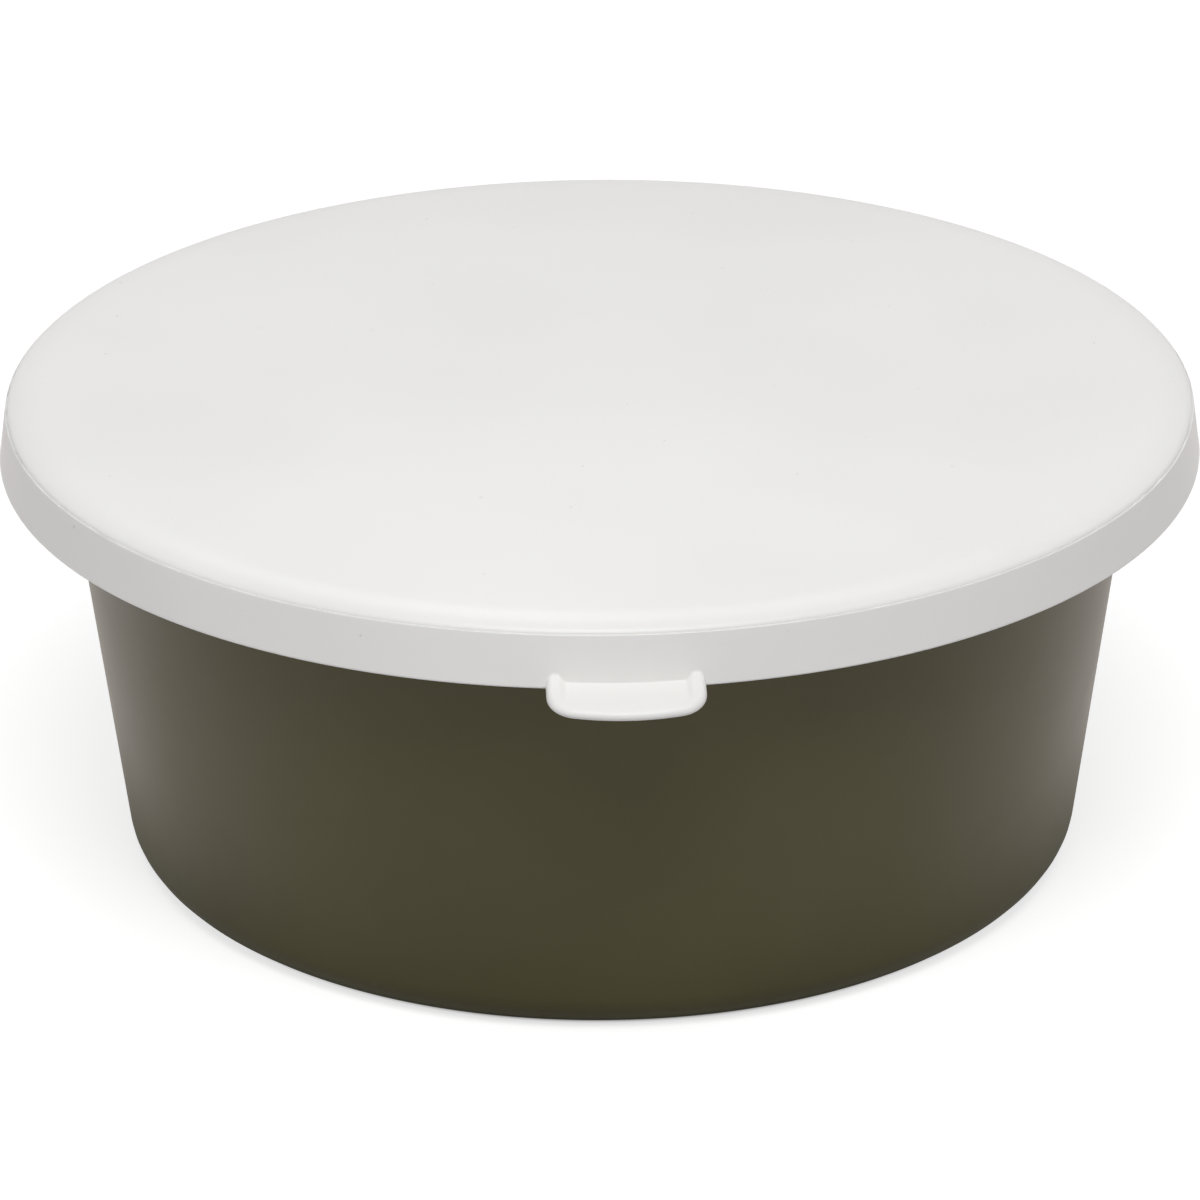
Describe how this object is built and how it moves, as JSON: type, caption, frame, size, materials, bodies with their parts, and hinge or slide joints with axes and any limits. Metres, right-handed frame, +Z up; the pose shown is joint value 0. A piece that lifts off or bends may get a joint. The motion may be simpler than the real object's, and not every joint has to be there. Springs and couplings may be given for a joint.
{
  "type": "feed bowl with lid",
  "caption": "Round drafted plastic feed bowl with a wide rim, closed by a flat press-on lid that has a flared skirt and a pull tab on its lower edge.",
  "frame": {"origin": "centre of the foot ring's plane, on which the bowl stands", "axes": "+Z up through the bowl's centre line, -Y towards the lid's pull tab, +X to the right seen from the tab"},
  "size_m": [0.3, 0.3116, 0.1208],
  "materials": {
    "bowl": "dark olive moulded plastic, satin matte",
    "lid": "white moulded plastic, satin"
  },
  "bodies": {
    "bowl": {"bowl": "bowl"},
    "lid": {"lid": "lid"}
  },
  "joints": [
    {"name": "lid_lift", "type": "slide", "parent": "bowl", "child": "lid", "axis": [0, 0, 1], "range_m": [0, 0.15]}
  ]
}
